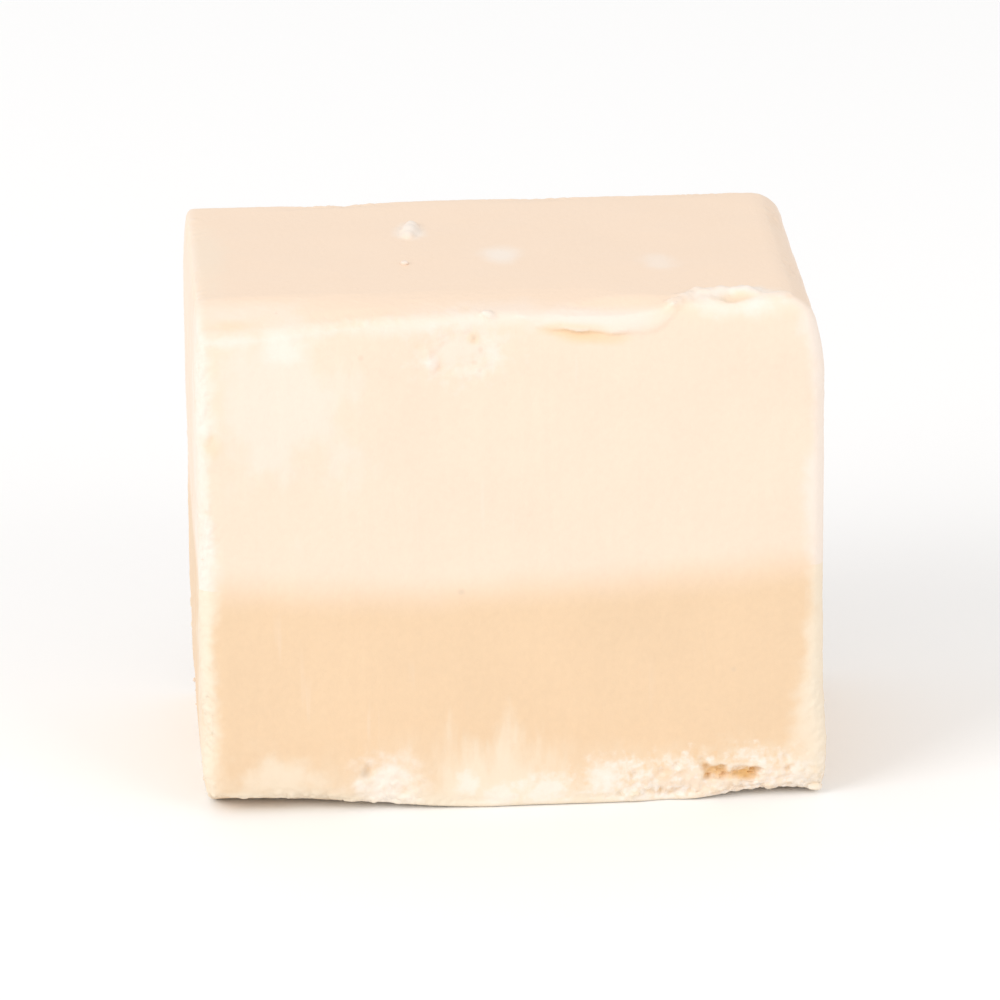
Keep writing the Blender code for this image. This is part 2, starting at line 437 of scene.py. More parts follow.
# A round dent near the top of the front: a shallow dish inside a low, broken rim of pressed-up crumb.
DENT = (-2.75 * MM, 27.15 * MM)
DENT_STRETCH = 1.3
DENT_RADIUS = 1.35 * MM
from_mark = np.hypot((at[:, 0] - DENT[0]) / DENT_STRETCH, at[:, 2] - DENT[1])
dent_rim = ease(1 - abs(from_mark - DENT_RADIUS) / (0.5 * MM)) * frontal * blotches(at, 0.7 * MM, 2.2)
press(block, "dish", ease(1.7 - from_mark / MM) * frontal, 0.09 * MM, "Y")
press(block, "dent_rim", dent_rim, -0.12 * MM, "Y")
DENT_SCRAPS = ((-4.35, 26.5, 0.6), (-1.72, 25.9, 0.35), (-2.0, 26.5, 0.4), (-0.95, 27.0, 0.6))
for x, z, wide in DENT_SCRAPS:
    press(block, "dent_scrap", spot(at, (x, 0, z), (wide, 0.8, wide * 1.2)), -0.12 * wide * MM, "Y")
ring = ease(1 - abs(from_mark - DENT_RADIUS) / (0.9 * MM)) * frontal

# Small pits where sugar grains fell out or the slab held a bubble: chosen ones on the front, and
# others scattered over the other cut sides.
FRONT_PITS = (
    (-2.0, 27.8, 0.12), (-1.6, 27.25, 0.12), (-4.5, 28.0, 0.1), (-5.1, 27.7, 0.1), (-2.95, 25.8, 0.1),
    (-8.17, 26.9, 0.24), (-2.82, 13.1, 0.22), (12.25, 7.95, 0.2), (8.9, 14.1, 0.16), (10.1, 13.9, 0.16),
    (13.5, 14.2, 0.18), (-8.26, 2.45, 0.32), (8.4, 2.0, 0.3), (7.6, 1.0, 0.28), (9.1, 2.3, 0.2),
    (10.4, 2.5, 0.26), (15.9, 2.8, 0.24), (16.5, 2.8, 0.22), (14.9, 2.3, 0.3), (14.9, 1.7, 0.26),
    (16.2, 1.9, 0.22), (9.4, 1.4, 0.22), (6.8, 1.7, 0.2), (-6.1, 1.0, 0.3), (-6.6, 2.3, 0.2),
)
OTHER_PITS = 30
pits = [((x, 0, z), size) for x, z, size in FRONT_PITS]
for number in range(OTHER_PITS):
    across = scrap_dice.uniform(-0.9, 0.9)
    high = scrap_dice.uniform(1.0, TOP - 1.0)
    size = 0.1 + 0.24 * scrap_dice.random() ** 2
    inward = scrap_dice.uniform(0.05, 0.95) * depth / MM
    side = number % 3
    if side == 0:
        pits.append(((half_x / MM + 0.2, inward, high), size))
    elif side == 1:
        pits.append(((-half_x / MM - 0.2, inward, high), size))
    else:
        pits.append(((across * half_x / MM, depth / MM + 0.2, high), size))
holes = np.zeros(len(at))
for middle, size in pits:
    for number in range(3):
        place = [value + size * scrap_dice.uniform(-0.8, 0.8) for value in middle]
        reach = size * scrap_dice.uniform(0.8, 1.7)
        holes = np.maximum(holes, spot(at, place, (reach, reach, reach * 1.3)) * scrap_dice.uniform(0.4, 1.0))
press(block, "pits", holes, -0.26 * MM)

at = places(block)
edge = ease(1 - rim / EDGE_REACH)
foot = ease(1 - at[:, 2] / FOOT_TOP)
right_foot = foot * frontal * ease((at[:, 0] - 5 * MM) / (2 * MM))
patch_foot = spot(at, (-6.9, 0, 1.5), (2.6, 1.5, 2.2))
worn = 0.10 + 0.62 * blotches(at, 3.1 * MM, 1.7)
worn += 0.25 * ease((-at[:, 0] - 15 * MM) / MM) * frontal
clean_right = ease((at[:, 0] - 14.5 * MM) / MM) * ease((at[:, 2] - 7 * MM) / (4 * MM))
clean_top = ease((at[:, 2] - height + 2 * MM) / MM) * np.maximum(frontal, ease((-at[:, 0] - 15 * MM) / MM))
worn = edge * (worn + 0.25 * foot) * (1 - 0.8 * clean_right * frontal) * (1 - 0.7 * clean_top)
off_ground = ease((at[:, 2] - 0.05 * MM) / (0.5 * MM))
crumbly = np.clip(worn + 0.6 * right_foot + 0.55 * patch_foot + 0.28 * ring, 0, 1) * off_ground
weigh(block, "crumbly", crumbly)
weigh(block, "bitten", np.clip(worn * blotches(at, 4.3 * MM, 0.6) + 0.1 * right_foot, 0, 1) * off_ground)
relief(block, "slow_waves", SLOW_WAVE, 0.22 * MM)
relief(block, "bites", BITE, -0.55 * MM, "bitten", mid_level=0.35)
relief(block, "crumbs", CRUMB, 0.5 * MM, "crumbly", mid_level=0.75, creased=True)
relief(block, "fine_crumbs", FINE_CRUMB, 0.14 * MM, "crumbly")

# The blade smeared the ends of the lip smooth, and the burr a little.
smeared = np.zeros(len(at))
for middle, size, share in (
    ((1.2, 0, 28.8), (2.4, 1.2, 1.8), 1.0), ((4.4, 0, 28.2), (4.0, 1.2, 1.2), 0.5),
    ((7.9, 0, 28.4), (2.9, 1.6, 2.2), 1.0), ((12.2, 1, TOP), (4.5, 2.6, 1.5), 0.22),
):
    smeared = np.maximum(smeared, share * np.clip(1.8 * spot(at, middle, size), 0, 1))
weigh(block, "smeared", smeared)
finish_with(block, "SMOOTH", factor=0.5, iterations=14, vertex_group="smeared")


def crests(piece, passes):
    """How far each point stands above the skin round it, in tenths of a millimetre."""
    at = places(piece)
    ends = np.empty(len(piece.data.edges) * 2, np.int32)
    piece.data.edges.foreach_get("vertices", ends)
    first, second = ends.reshape(-1, 2).T
    count = np.bincount(first, minlength=len(at)) + np.bincount(second, minlength=len(at))
    calm = at.copy()
    for _ in range(passes):
        for axis in range(3):
            total = np.bincount(first, calm[second, axis], len(at))
            total += np.bincount(second, calm[first, axis], len(at))
            at[:, axis] = total / count
        calm, at = at, calm
    outward = np.empty(len(at) * 3, np.float32)
    piece.data.vertices.foreach_get("normal", outward)
    return ((places(piece) - calm) * outward.reshape(-1, 3)).sum(axis=1) / (0.1 * MM)


def store(piece, name, values):
    """Keeps a value for each point, which a material reads."""
    made = piece.data.attributes.new(name, "FLOAT", "POINT")
    made.data.foreach_set("value", values.astype(np.float32))


store(block, "crest", crests(block, 14))
store(block, "loosened", crumbly)
over_lip = ease(2.2 - abs(at[:, 0] - 5.2 * MM) / (2.6 * MM)) * frontal
store(block, "rim", rim / MM + 0.8 * ease(1 - from_top / (0.35 * MM + 0.35 * MM * over_lip)))
at = places(block)
press(block, "level_underside", np.clip(-at[:, 2] / MM, 0, 1), MM, "Z")
finish_with(block, "DECIMATE", ratio=SKIN_TRIANGLES / (2 * len(block.data.vertices)))

# ---- The seam ----
# The caramel was poured first and the vanilla on top of it while it was warm, so they meet in a soft
# line that dips in the middle and climbs to both ends. A wavy cutter parts the block along it.
SEAM_HEIGHT = 13.0 * MM
SEAM_RIGHT_RISE = 1.0 * MM
SEAM_RIGHT_START = 1.0 * MM
SEAM_LEFT_RISE = 0.55 * MM
SEAM_LEFT_START = 4.5 * MM
SEAM_RISE_LENGTH = 13.0 * MM
SEAM_DIP = 0.15 * MM
SEAM_DIP_LENGTH = 16.0 * MM
SEAM_SAG = 0.25 * MM
CUTTER_MARGIN = 3.0 * MM
CUTTER_CUTS = 24
SMOOTH_BELOW = math.radians(62)


def seam(x, y):
    """The height of the seam at a place."""
    right = SEAM_RIGHT_RISE * ease((x - SEAM_RIGHT_START) / SEAM_RISE_LENGTH)
    left = SEAM_LEFT_RISE * ease((-x - SEAM_LEFT_START) / SEAM_RISE_LENGTH)
    dip = SEAM_DIP * ease(1 - abs(x) / (SEAM_DIP_LENGTH / 2))
    return SEAM_HEIGHT + right + left - dip + SEAM_SAG * np.cos(np.pi * y / depth)


cutter = cube(
    "seam_cutter", (0, 0, SEAM_HEIGHT + height / 2),
    (width + 2 * CUTTER_MARGIN, depth + 2 * CUTTER_MARGIN, height),
)
only(cutter)
bpy.ops.object.mode_set(mode="EDIT")
bpy.ops.mesh.select_all(action="SELECT")
bpy.ops.mesh.subdivide(number_cuts=CUTTER_CUTS)
bpy.ops.object.mode_set(mode="OBJECT")
for point in cutter.data.vertices:
    if point.co.z < SEAM_HEIGHT + MM:
        point.co.z = float(seam(point.co.x, np.clip(point.co.y, -half_y, half_y)))

kept_points = kdtree.KDTree(len(block.data.vertices))
for point in block.data.vertices:
    kept_points.insert(point.co, point.index)
kept_points.balance()


def split(name, operation):
    """A copy of the block with the cutter kept or taken away. The points made along the cut take over what
    the nearest point of the block keeps."""
    made = block.copy()
    made.data = block.data.copy()
    made.name = name
    bpy.context.scene.collection.objects.link(made)
    finish_with(made, "BOOLEAN", object=cutter, operation=operation, solver="EXACT")
    finish_with(made, "TRIANGULATE")
    made.vertex_groups.clear()
    nearest = [kept_points.find(point.co)[1] for point in made.data.vertices]
    for kept in ("crest", "loosened", "rim"):
        values = [block.data.attributes[kept].data[index].value for index in nearest]
        made.data.attributes[kept].data.foreach_set("value", values)
    only(made)
    bpy.ops.object.shade_smooth_by_angle(angle=SMOOTH_BELOW)
    return made


vanilla = split("vanilla_fudge", "INTERSECT")
caramel = split("caramel_fudge", "DIFFERENCE")
bpy.data.objects.remove(cutter)
bpy.data.objects.remove(block)

# ---- Fudge ----
# Both layers are the same waxy, fine-grained paste. Where a knife has crushed it the sugar whitens, so
# crumbs and edges are paler than the cut faces, and the hollows between them are painted browner as shade.
VANILLA = (0.875, 0.690, 0.545, 1)
CARAMEL = (0.790, 0.575, 0.372, 1)
BLOOM = (0.865, 0.765, 0.680, 1)
FROST = (0.900, 0.820, 0.740, 1)
CREAM = (0.850, 0.740, 0.590, 1)
# The top's deeper tone, partly its dried poured skin and partly painted shade for a top lit less than the
# front.
DRIED_TOP_AND_SHADE = (0.905, 0.705, 0.535, 1)
# Tans painted as shade: for hollows, pits and the gaps under the lip and the burr in each layer, for the
# floors of the foot's broken hollows, and for small pits.
VANILLA_SHADE = (0.860, 0.620, 0.390, 1)
CARAMEL_SHADE = (0.800, 0.500, 0.215, 1)
HOLLOW_SHADE = (0.760, 0.430, 0.130, 1)
SPECK_SHADE = (0.600, 0.480, 0.360, 1)
SEAM_BLEND = 1.6 * MM
SWEPT_UP = (1.0 * MM, 5.5 * MM, 0.42 * MM)
SWEPT_DOWN = (11.7 * MM, 3.4 * MM, -0.36 * MM)


def put(socket, value):
    """Links an output to a socket, or sets a plain value on it."""
    if isinstance(value, bpy.types.NodeSocket):
        socket.id_data.links.new(value, socket)
    else:
        socket.default_value = value


def sums(tree, operation, first, second=0.0, third=0.0):
    """A Math node's output."""
    made = tree.nodes.new("ShaderNodeMath")
    made.operation = operation
    for socket, value in zip(made.inputs, (first, second, third)):
        put(socket, value)
    return made.outputs[0]


def vectors(tree, operation, first, second):
    """A Vector Math node's output."""
    made = tree.nodes.new("ShaderNodeVectorMath")
    made.operation = operation
    put(made.inputs[0], first)
    put(made.inputs["Scale"] if operation == "SCALE" else made.inputs[1], second)
    return made.outputs["Value"] if operation == "LENGTH" else made.outputs["Vector"]


def eased(tree, value, low, high):
    """0 at low and 1 at high, with flat ends."""
    made = tree.nodes.new("ShaderNodeMapRange")
    made.interpolation_type = "SMOOTHSTEP"
    put(made.inputs["Value"], value)
    put(made.inputs["From Min"], low)
    put(made.inputs["From Max"], high)
    return made.outputs["Result"]


def noise(tree, place, scale, detail=3.0):
    """Smooth noise around 0, with features one over scale across."""
    made = tree.nodes.new("ShaderNodeTexNoise")
    put(made.inputs["Scale"], scale)
    made.inputs["Detail"].default_value = detail
    put(made.inputs["Vector"], place)
    return sums(tree, "SUBTRACT", made.outputs["Fac"], 0.5)


def tint(tree, share, under_colour, over_colour):
    """over_colour laid on under_colour where share is 1."""
    made = tree.nodes.new("ShaderNodeMix")
    made.data_type = "RGBA"
    put(made.inputs["Factor"], share)
    put(made.inputs[6], under_colour)
    put(made.inputs[7], over_colour)
    return made.outputs[2]


def group(name, inputs, outputs):
    """An empty node group with those named sockets, its input node and its output node."""
    tree = bpy.data.node_groups.new(name, "ShaderNodeTree")
    for label, kind in inputs.items():
        tree.interface.new_socket(label, in_out="INPUT", socket_type="NodeSocket" + kind)
    for label, kind in outputs.items():
        tree.interface.new_socket(label, in_out="OUTPUT", socket_type="NodeSocket" + kind)
    return tree, tree.nodes.new("NodeGroupInput").outputs, tree.nodes.new("NodeGroupOutput").inputs


def use(tree, made, **values):
    """The outputs of a placed node group, with its inputs set."""
    node = tree.nodes.new("ShaderNodeGroup")
    node.node_tree = made
    for label, value in values.items():
        put(node.inputs[label], value)
    return node.outputs


# A crushed edge: 1 on the block's edges, ragged and uneven, and gone a little way in. Rim is how far the
# skin is from the nearest edge, in millimetres.
edge_tree, given, result = group(
    "crushed_edge",
    {"Place": "Vector", "Rim": "Float", "Reach": "Float", "Ragged": "Float"},
    {"Mask": "Float"},
)
fine_rag = sums(edge_tree, "MULTIPLY", noise(edge_tree, given["Place"], 900.0, 5.0), given["Ragged"])
wide_rag = sums(edge_tree, "MULTIPLY", noise(edge_tree, given["Place"], 130.0, 2.0), 2.2)
shifted = sums(edge_tree, "ADD", given["Rim"], sums(edge_tree, "ADD", fine_rag, wide_rag))
put(result["Mask"], eased(edge_tree, shifted, given["Reach"], 0.0))

# A soft spot: 1 at its middle, ragged, and gone at its rim.
spot_tree, given, result = group(
    "soft_spot",
    {"Place": "Vector", "Middle": "Vector", "Size": "Vector", "Ragged": "Float", "Grain": "Vector"},
    {"Mask": "Float"},
)
away = vectors(spot_tree, "SUBTRACT", given["Place"], given["Middle"])
away = vectors(spot_tree, "DIVIDE", away, given["Size"])
grains = vectors(spot_tree, "MULTIPLY", given["Place"], given["Grain"])
ragged = sums(spot_tree, "MULTIPLY", noise(spot_tree, grains, 1.0, 4.0), given["Ragged"])
reached = sums(spot_tree, "ADD", vectors(spot_tree, "LENGTH", away, (0, 0, 0)), ragged)
put(result["Mask"], eased(spot_tree, reached, 1.0, 0.2))

# The two pours: 0 in the caramel and 1 in the vanilla. Their colours ran into each other over three
# millimetres or so, and the knife swept the colour up near the middle and down near the right end.
pour_tree, given, result = group("two_pours", {"Place": "Vector", "Blend": "Float"}, {"Vanilla": "Float"})
axes = pour_tree.nodes.new("ShaderNodeSeparateXYZ")
put(axes.inputs[0], given["Place"])
from_middle = sums(pour_tree, "ABSOLUTE", axes.outputs[0])
right = eased(pour_tree, axes.outputs[0], SEAM_RIGHT_START, SEAM_RIGHT_START + SEAM_RISE_LENGTH)
left = eased(pour_tree, axes.outputs[0], -SEAM_LEFT_START, -SEAM_LEFT_START - SEAM_RISE_LENGTH)
dip = eased(pour_tree, from_middle, SEAM_DIP_LENGTH / 2, 0.0)
seam_here = sums(pour_tree, "MULTIPLY_ADD", right, SEAM_RIGHT_RISE, SEAM_HEIGHT)
seam_here = sums(pour_tree, "MULTIPLY_ADD", left, SEAM_LEFT_RISE, seam_here)
seam_here = sums(pour_tree, "MULTIPLY_ADD", dip, -SEAM_DIP, seam_here)
for middle, reach, lift in (SWEPT_UP, SWEPT_DOWN):
    gone = sums(pour_tree, "ABSOLUTE", sums(pour_tree, "SUBTRACT", axes.outputs[0], middle))
    seam_here = sums(pour_tree, "MULTIPLY_ADD", eased(pour_tree, gone, reach, 0.0), lift, seam_here)
waver = sums(pour_tree, "MULTIPLY", noise(pour_tree, given["Place"], 260.0, 5.0), 0.9 * MM)
above = sums(pour_tree, "ADD", sums(pour_tree, "SUBTRACT", axes.outputs[2], seam_here), waver)
below = sums(pour_tree, "MULTIPLY", given["Blend"], -1.0)
put(result["Vanilla"], eased(pour_tree, above, below, given["Blend"]))

# Knife marks: fine upright scratches on the cut sides, fading out at the poured top.
knife_tree, given, result = group("knife_marks", {"Place": "Vector"}, {"Mask": "Float", "Height": "Float"})
axes = knife_tree.nodes.new("ShaderNodeSeparateXYZ")
put(axes.inputs[0], given["Place"])
cut_side = eased(knife_tree, axes.outputs[2], height - 0.2 * MM, height - 0.8 * MM)
drawn_out = vectors(knife_tree, "MULTIPLY", given["Place"], (1.0, 1.0, 0.07))
lines = noise(knife_tree, drawn_out, 1500.0, 3.0)
breaks = eased(knife_tree, noise(knife_tree, given["Place"], 120.0, 2.0), 0.0, 0.12)
put(result["Height"], sums(knife_tree, "MULTIPLY", lines, cut_side))
marked = sums(knife_tree, "MULTIPLY", eased(knife_tree, lines, 0.14, 0.24), breaks)
put(result["Mask"], sums(knife_tree, "MULTIPLY", marked, cut_side))


def on_front(x, z, y=0.0):
    """A place on the front in millimetres, with y counted inwards from the front face."""
    return (x * MM, front + y * MM, z * MM)


def on_top(x, y):
    """A place on the top in millimetres."""
    return (x * MM, y * MM, height)


def spread(x, y, z):
    """Half lengths in millimetres."""
    return (x * MM, y * MM, z * MM)


LEFT_EDGE = (-half_x - SIDE_BOW, front + MM, height / 2)
LEFT_BLOOM = spread(0.9, 5.5, 28.0)


def grain_of(across, up=None):
    """How fine the rag of a smear is: one over the size of its features, in millimetres."""
    return (1 / (across * MM), 1 / (across * MM), 1 / ((up or across) * MM))


# Pale smears, crushed crumb, painted highlights and painted shade in hollows and gaps, each with its
# middle, half lengths, raggedness, the fineness of its rag, its colour and strength.
VANILLA_MARKS = (
    # The whole top tinted deeper: partly its dried poured skin, partly painted shade for a top lit less than
    # the front.
    (on_top(0, 0), spread(90, 90, 1.5), 0.0, grain_of(5.0), DRIED_TOP_AND_SHADE, 0.75),
    (on_front(-12.0, 24.6), spread(4.6, 2.5, 6.8), 2.6, grain_of(2.2, 3.0), BLOOM, 0.45),
    (on_front(-12.4, 27.5), spread(1.6, 1.5, 1.4), 1.2, grain_of(1.0), FROST, 0.50),
    (on_front(-1.0, 29.4), spread(7.5, 2.0, 1.5), 0.8, grain_of(1.6), BLOOM, 0.50),
    (on_front(5.0, 28.75), spread(5.2, 1.2, 1.15), 0.6, grain_of(1.6), BLOOM, 0.75),
    (on_front(12.2, 29.6, 0.7), spread(4.0, 1.9, 1.6), 0.9, grain_of(0.9), FROST, 0.85),
    (on_front(13.4, 30.0, 1.3), spread(1.0, 1.1, 1.0), 0.5, grain_of(0.9), FROST, 0.80),
    (on_front(-0.95, 27.0), spread(0.6, 1.0, 1.3), 0.7, grain_of(0.5), FROST, 0.40),
    (on_front(-4.25, 28.4), spread(0.6, 1.0, 0.6), 0.7, grain_of(0.5), FROST, 0.25),
    (on_front(-4.35, 26.5), spread(0.5, 1.0, 0.6), 0.4, grain_of(0.5), FROST, 0.75),
    (on_front(-1.75, 25.9), spread(0.5, 1.0, 0.5), 0.7, grain_of(0.5), FROST, 0.45),
    (on_front(-2.7, 27.2), spread(3.4, 2.5, 2.4), 2.4, grain_of(0.6), BLOOM, 0.40),
    (on_front(-4.7, 27.4), spread(1.1, 1.0, 0.7), 1.0, grain_of(0.6), VANILLA_SHADE, 0.15),
    (on_top(-14.5, -8.3), spread(4.5, 1.6, 1.5), 1.2, grain_of(2.5), BLOOM, 0.50),
    (on_top(-4.7, 3.9), spread(1.2, 2.0, 1.5), 0.6, grain_of(1.2), FROST, 0.85),
    # Painted highlights: two pale spots where glossy smudges on the top catch the light.
    (on_top(0.1, -0.7), spread(1.6, 2.0, 0.6), 0.6, grain_of(1.8), FROST, 0.68),
    (on_top(8.7, -2.5), spread(1.5, 1.9, 0.6), 0.8, grain_of(1.4), FROST, 0.42),
    (on_top(-16.3, 0.5), spread(1.6, 9.5, 1.6), 0.8, grain_of(1.6), CREAM, 0.35),
    (LEFT_EDGE, LEFT_BLOOM, 2.4, grain_of(1.3, 2.4), FROST, 0.42),
    (on_front(6.0, 29.5, 0.3), spread(3.4, 1.4, 0.8), 0.4, grain_of(1.6), DRIED_TOP_AND_SHADE, 0.70),
    # Painted shadow: a tan spindle under the lip's lower edge, where it hangs over the groove.
    (on_front(2.7, 28.2), spread(1.6, 1.0, 0.55), 0.3, grain_of(2.0), VANILLA_SHADE, 0.70),
    (on_front(4.0, 27.9), spread(2.0, 1.0, 0.8), 0.3, grain_of(2.0), VANILLA_SHADE, 0.90),
    (on_front(5.4, 27.6), spread(1.7, 1.0, 0.6), 0.3, grain_of(2.0), VANILLA_SHADE, 0.55),
    (on_front(-16.5, 22.1), spread(1.0, 1.5, 1.1), 0.9, grain_of(1.6), VANILLA_SHADE, 0.45),
    (on_front(-2.0, 27.8), spread(0.55, 1.0, 0.6), 0.5, grain_of(0.7), VANILLA_SHADE, 0.40),
    # Small dark specks at pits and round the dent: painted shade.
    (on_front(-8.17, 26.9), spread(0.26, 0.8, 0.26), 0.3, grain_of(0.4), SPECK_SHADE, 0.30),
    (on_front(-2.0, 27.85), spread(0.24, 0.8, 0.24), 0.3, grain_of(0.4), SPECK_SHADE, 0.35),
    (on_front(-1.63, 27.1), spread(0.2, 0.8, 0.28), 0.3, grain_of(0.4), SPECK_SHADE, 0.25),
    (on_front(-1.95, 26.4), spread(0.26, 0.8, 0.2), 0.3, grain_of(0.4), SPECK_SHADE, 0.25),
    (on_front(-1.7, 25.95), spread(0.2, 0.8, 0.2), 0.3, grain_of(0.4), SPECK_SHADE, 0.25),
    (on_front(-2.82, 13.1), spread(0.34, 0.8, 0.3), 0.3, grain_of(0.4), SPECK_SHADE, 0.40),
    # Painted shadow line where the sloping left end of the top meets the top.
    (on_front(-15.0, 28.6, 0.9), spread(1.8, 0.8, 0.4), 0.5, grain_of(2.0), VANILLA_SHADE, 0.30),
    # Painted shadow in the gap under the front of the burr.
    (on_front(12.4, 29.5, 0.6), spread(1.8, 0.9, 0.8), 0.7, grain_of(0.8), VANILLA_SHADE, 0.60),
    (on_front(-2.4, 29.5, 0.5), spread(0.7, 0.8, 0.6), 0.6, grain_of(0.8), VANILLA_SHADE, 0.35),
)
CARAMEL_MARKS = (
    # Along the foot, a pale cream band of crushed crumb, and above it a fainter cream gradient that is
    # painted bounce light from below.
    (on_front(0, 0.3), spread(24, 2.5, 1.6), 0.5, grain_of(1.2), CREAM, 0.85),
    (on_front(0, 0), spread(26, 2.5, 5.0), 1.4, grain_of(2.4, 3.4), CREAM, 0.36),
    (on_front(-1.4, 1.2), spread(4.6, 2.5, 5.0), 1.9, grain_of(1.1, 4.0), CREAM, 0.75),
    (on_front(-7.0, 1.7), spread(2.7, 2.5, 2.5), 1.4, grain_of(0.9), FROST, 0.85),
    (on_front(-13.0, 1.8), spread(3.4, 2.5, 2.4), 2.0, grain_of(1.6), CREAM, 0.65),
    (on_front(9.4, 1.1), spread(5.6, 2.5, 2.5), 1.2, grain_of(0.9), CREAM, 0.55),
    (on_front(14.2, 1.3), spread(5.8, 2.5, 2.9), 1.2, grain_of(0.9), CREAM, 0.55),
    (on_front(9.4, 1.1), spread(5.8, 2.5, 2.3), 1.7, grain_of(0.5), FROST, 0.95),
    (on_front(14.2, 1.2), spread(6.0, 2.5, 2.3), 1.7, grain_of(0.5), FROST, 0.95),
    # Tan specks of painted shade between the crumbs of the broken foot.
    (on_front(11.0, 1.4), spread(6.5, 2.5, 1.7), 3.4, grain_of(0.4), CARAMEL_SHADE, 0.32),
    (on_front(-2.6, 1.6), spread(0.9, 1.5, 1.2), 1.2, grain_of(0.5), FROST, 0.70),
    (on_front(-0.8, 0.8), spread(1.5, 1.5, 1.1), 1.2, grain_of(0.5), FROST, 0.70),
    (on_front(1.8, 1.2), spread(2.1, 1.5, 1.4), 1.4, grain_of(0.5), FROST, 0.80),
    (on_front(5.0, 1.8), spread(1.9, 1.5, 1.7), 1.4, grain_of(0.5), FROST, 0.70),
    (on_front(16.8, 4.0), spread(1.8, 2.5, 6.2), 1.0, grain_of(1.1), CREAM, 0.75),
    (LEFT_EDGE, LEFT_BLOOM, 2.4, grain_of(1.3, 2.4), CREAM, 0.70),
    # Painted shade on the floors of the two hollows where the foot broke out.
    (on_front(11.17, 1.77, 0.4), spread(1.2, 1.4, 0.75), 0.8, grain_of(0.7), HOLLOW_SHADE, 0.72),
    (on_front(12.88, 1.5, 0.4), spread(1.15, 1.4, 0.75), 0.8, grain_of(0.7), HOLLOW_SHADE, 0.90),
    # Painted shade at pits in the foot.
    (on_front(8.4, 1.9), spread(0.8, 1.2, 0.7), 1.2, grain_of(0.7), CARAMEL_SHADE, 0.30),
    (on_front(15.0, 2.0), spread(0.7, 1.2, 0.8), 1.2, grain_of(0.7), CARAMEL_SHADE, 0.30),
    # Dark specks painted into pits as their shade.
    (on_front(-8.26, 2.45), spread(0.42, 1.2, 0.42), 0.4, grain_of(0.5), SPECK_SHADE, 0.50),
    (on_front(12.25, 7.95), spread(0.26, 0.8, 0.26), 0.3, grain_of(0.4), SPECK_SHADE, 0.30),
)


def paste(tree, place, speckle):
    """The colour of plain fudge: the two pours, with a fine grain and a faint clouding."""
    colour = tint(tree, use(tree, pour_tree, Place=place, Blend=SEAM_BLEND)["Vanilla"], CARAMEL, VANILLA)
    grain = sums(tree, "MULTIPLY", noise(tree, place, 3000.0, 2.0), speckle)
    cloud = sums(tree, "MULTIPLY", noise(tree, place, 150.0, 4.0), 0.10)
    return vectors(tree, "SCALE", colour, sums(tree, "ADD", sums(tree, "ADD", grain, cloud), 1.0))


def reading(tree, name):
    """The value that the mesh keeps under that name."""
    made = tree.nodes.new("ShaderNodeAttribute")
    made.attribute_name = name
    return made.outputs["Fac"]


def roughen(tree, shader, place, broken, height_input):
    """Roughness that is higher where the fudge is broken, and a fine grained bump."""
    patchy = sums(tree, "MULTIPLY", noise(tree, place, 400.0, 2.0), 0.18)
    satin = sums(tree, "ADD", patchy, 0.46)
    put(shader.inputs["Roughness"], sums(tree, "MULTIPLY_ADD", broken, 0.30, satin))
    bump = tree.nodes.new("ShaderNodeBump")
    bump.inputs["Strength"].default_value = 0.5
    bump.inputs["Distance"].default_value = 0.06 * MM
    put(bump.inputs["Height"], sums(tree, "ADD", noise(tree, place, 2600.0, 3.0), height_input))
    put(shader.inputs["Normal"], bump.outputs[0])


def fudge(name, marks, speckle, deep, crushed):
    """The finish of a layer, whose edges, smears and crumbs are whitened, and whose hollows are tinted with
    deep, a tan that stands for their shade.
    """
    made = bpy.data.materials.new(name)
    made.use_nodes = True
    tree = made.node_tree
    shader = tree.nodes["Principled BSDF"]
    place = tree.nodes.new("ShaderNodeTexCoord").outputs["Object"]
    colour = paste(tree, place, speckle)
    knife = use(tree, knife_tree, Place=place)
    colour = tint(tree, sums(tree, "MULTIPLY", knife["Mask"], 0.14), colour, BLOOM)
    edges = use(tree, edge_tree, Place=place, Rim=reading(tree, "rim"), Reach=1.0, Ragged=1.3)["Mask"]
    colour = tint(tree, sums(tree, "MULTIPLY", edges, 0.75), colour, crushed)
    for middle, size, ragged, fineness, mark_colour, strength in marks:
        mark = use(
            tree, spot_tree, Place=place, Middle=middle, Size=size, Ragged=ragged, Grain=fineness
        )["Mask"]
        colour = tint(tree, sums(tree, "MULTIPLY", mark, strength), colour, mark_colour)
    standing = eased(tree, reading(tree, "crest"), 0.1, 1.2)
    colour = tint(tree, sums(tree, "MULTIPLY", standing, 0.55), colour, crushed)
    # Hollows lying below the skin around them are tinted tan: painted shade.
    sunken_shade = eased(tree, reading(tree, "crest"), -0.3, -2.0)
    colour = tint(tree, sums(tree, "MULTIPLY", sunken_shade, 0.34), colour, deep)
    put(shader.inputs["Base Color"], colour)
    broken = sums(tree, "MAXIMUM", edges, reading(tree, "loosened"))
    roughen(tree, shader, place, broken, sums(tree, "MULTIPLY", knife["Height"], 0.6))
    return made


layers = (
    (vanilla, "vanilla_layer", VANILLA_MARKS, 0.05, VANILLA_SHADE, BLOOM),
    (caramel, "caramel_layer", CARAMEL_MARKS, 0.06, CARAMEL_SHADE, CREAM),
)
for piece, node, marks, speckle, deep, crushed in layers:
    piece.data.materials.clear()
    piece.data.materials.append(fudge(piece.name + "_finish", marks, speckle, deep, crushed))
    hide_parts(node)
    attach(piece, "root")

# ---- Loose crumbs ----
# Crumbs from the cut that cling to the square: one on the top, and small ones up its sides and along
# their feet. Each is a lump of the same fudge, pressed a little into it.
TOP_CRUMB = ((-5.3, -1.8, 40), (0, 0, -1), 0.6)
SCATTERED_CRUMBS = 56

